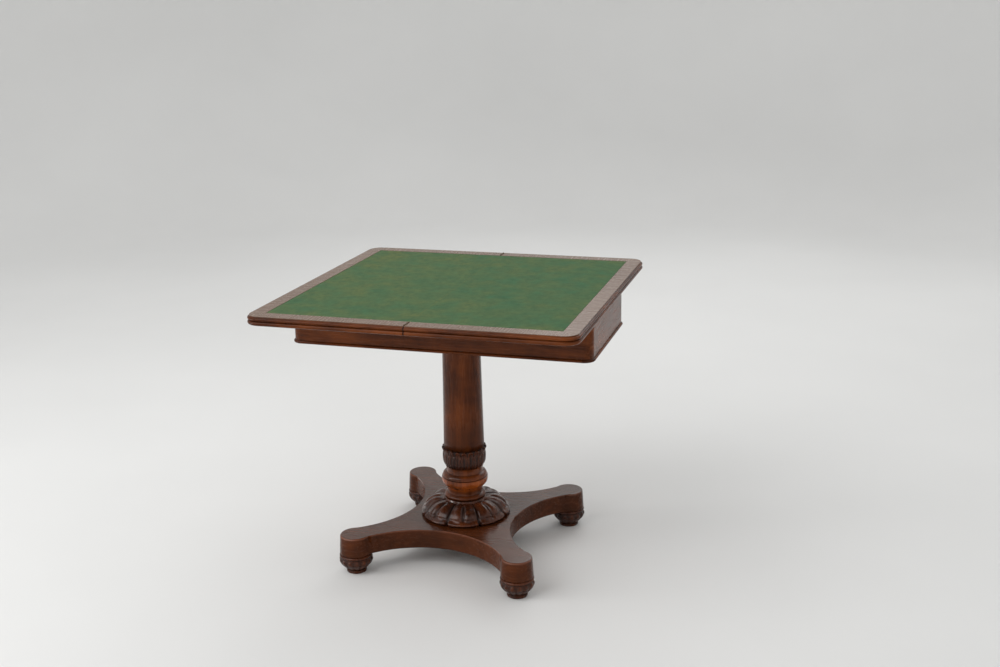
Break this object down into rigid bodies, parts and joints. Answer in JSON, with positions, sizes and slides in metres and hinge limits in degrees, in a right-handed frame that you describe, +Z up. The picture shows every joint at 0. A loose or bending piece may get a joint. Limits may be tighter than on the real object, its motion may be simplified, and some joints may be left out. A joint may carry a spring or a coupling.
{
  "type": "folding card table",
  "caption": "Swivel-top folding card table: hinged square baize top over a frieze box, on a turned column, concave-sided platform and turned feet.",
  "frame": {"origin": "on the floor, under the axis of the column and the centre of the open top", "axes": "+Z up, +X along the frieze and across the seam from the flap to the turning leaf, +Y to the back"},
  "size_m": [0.824, 0.824, 0.7423],
  "materials": {
    "polished_mahogany": "french polished",
    "carved_mahogany": "carved and polished",
    "cross_banding": "cross-cut veneer, polished",
    "green_baize": "matt felted wool",
    "hinge_brass": "aged",
    "dark_iron": "blackened",
    "carcass_deal": "unpolished"
  },
  "bodies": {
    "base": {"bead_back": "polished_mahogany", "bead_back_left": "polished_mahogany", "bead_back_right": "polished_mahogany", "bead_front": "polished_mahogany", "bead_front_left": "polished_mahogany", "bead_front_right": "polished_mahogany", "bead_left": "polished_mahogany", "bead_right": "polished_mahogany", "column_bearer": "carcass_deal", "column_knop": "polished_mahogany", "column_shaft": "polished_mahogany", "corner_block_back_left": "carcass_deal", "corner_block_back_right": "carcass_deal", "corner_block_front_left": "carcass_deal", "corner_block_front_right": "carcass_deal", "floor_ledgers": "carcass_deal", "foot_back_left": "carved_mahogany", "foot_back_right": "carved_mahogany", "foot_front_left": "carved_mahogany", "foot_front_right": "carved_mahogany", "leaf_collar": "carved_mahogany", "petal_boss": "carved_mahogany", "pivot_bearer": "carcass_deal", "pivot_bush": "hinge_brass", "platform": "polished_mahogany", "rail_back": "polished_mahogany", "rail_front": "polished_mahogany", "rail_left": "polished_mahogany", "rail_right": "polished_mahogany", "tie_nuts": "dark_iron", "tie_rod": "dark_iron", "tie_washers": "dark_iron", "well_floor": "carcass_deal", "well_partition": "carcass_deal"},
    "top": {"fixed_leaf": "polished_mahogany", "band_front_fixed": "cross_banding", "band_back_fixed": "cross_banding", "band_end_fixed": "cross_banding", "baize_fixed": "green_baize", "hinge_front_fixed": "hinge_brass", "hinge_back_fixed": "hinge_brass", "hinge_pin_front": "hinge_brass", "hinge_pin_back": "hinge_brass", "hinge_screws_fixed": "hinge_brass", "pivot_plate": "dark_iron", "pivot_screws": "dark_iron", "pivot_washer": "dark_iron", "pivot_nut": "dark_iron", "stop_peg": "carcass_deal"},
    "flap": {"flap_leaf": "polished_mahogany", "band_front_flap": "cross_banding", "band_back_flap": "cross_banding", "band_end_flap": "cross_banding", "baize_flap": "green_baize", "hinge_front_flap": "hinge_brass", "hinge_back_flap": "hinge_brass", "hinge_screws_flap": "hinge_brass"}
  },
  "joints": [
    {"name": "top_swivel", "type": "hinge", "parent": "base", "child": "top", "pos_m": [0.103, 0.103, 0.717], "axis": [0, 0, 1], "range_deg": [-90, 0]},
    {"name": "flap_fold", "type": "hinge", "parent": "top", "child": "flap", "pos_m": [0, 0, 0.7401], "axis": [0, 1, 0], "range_deg": [0, 180]}
  ]
}
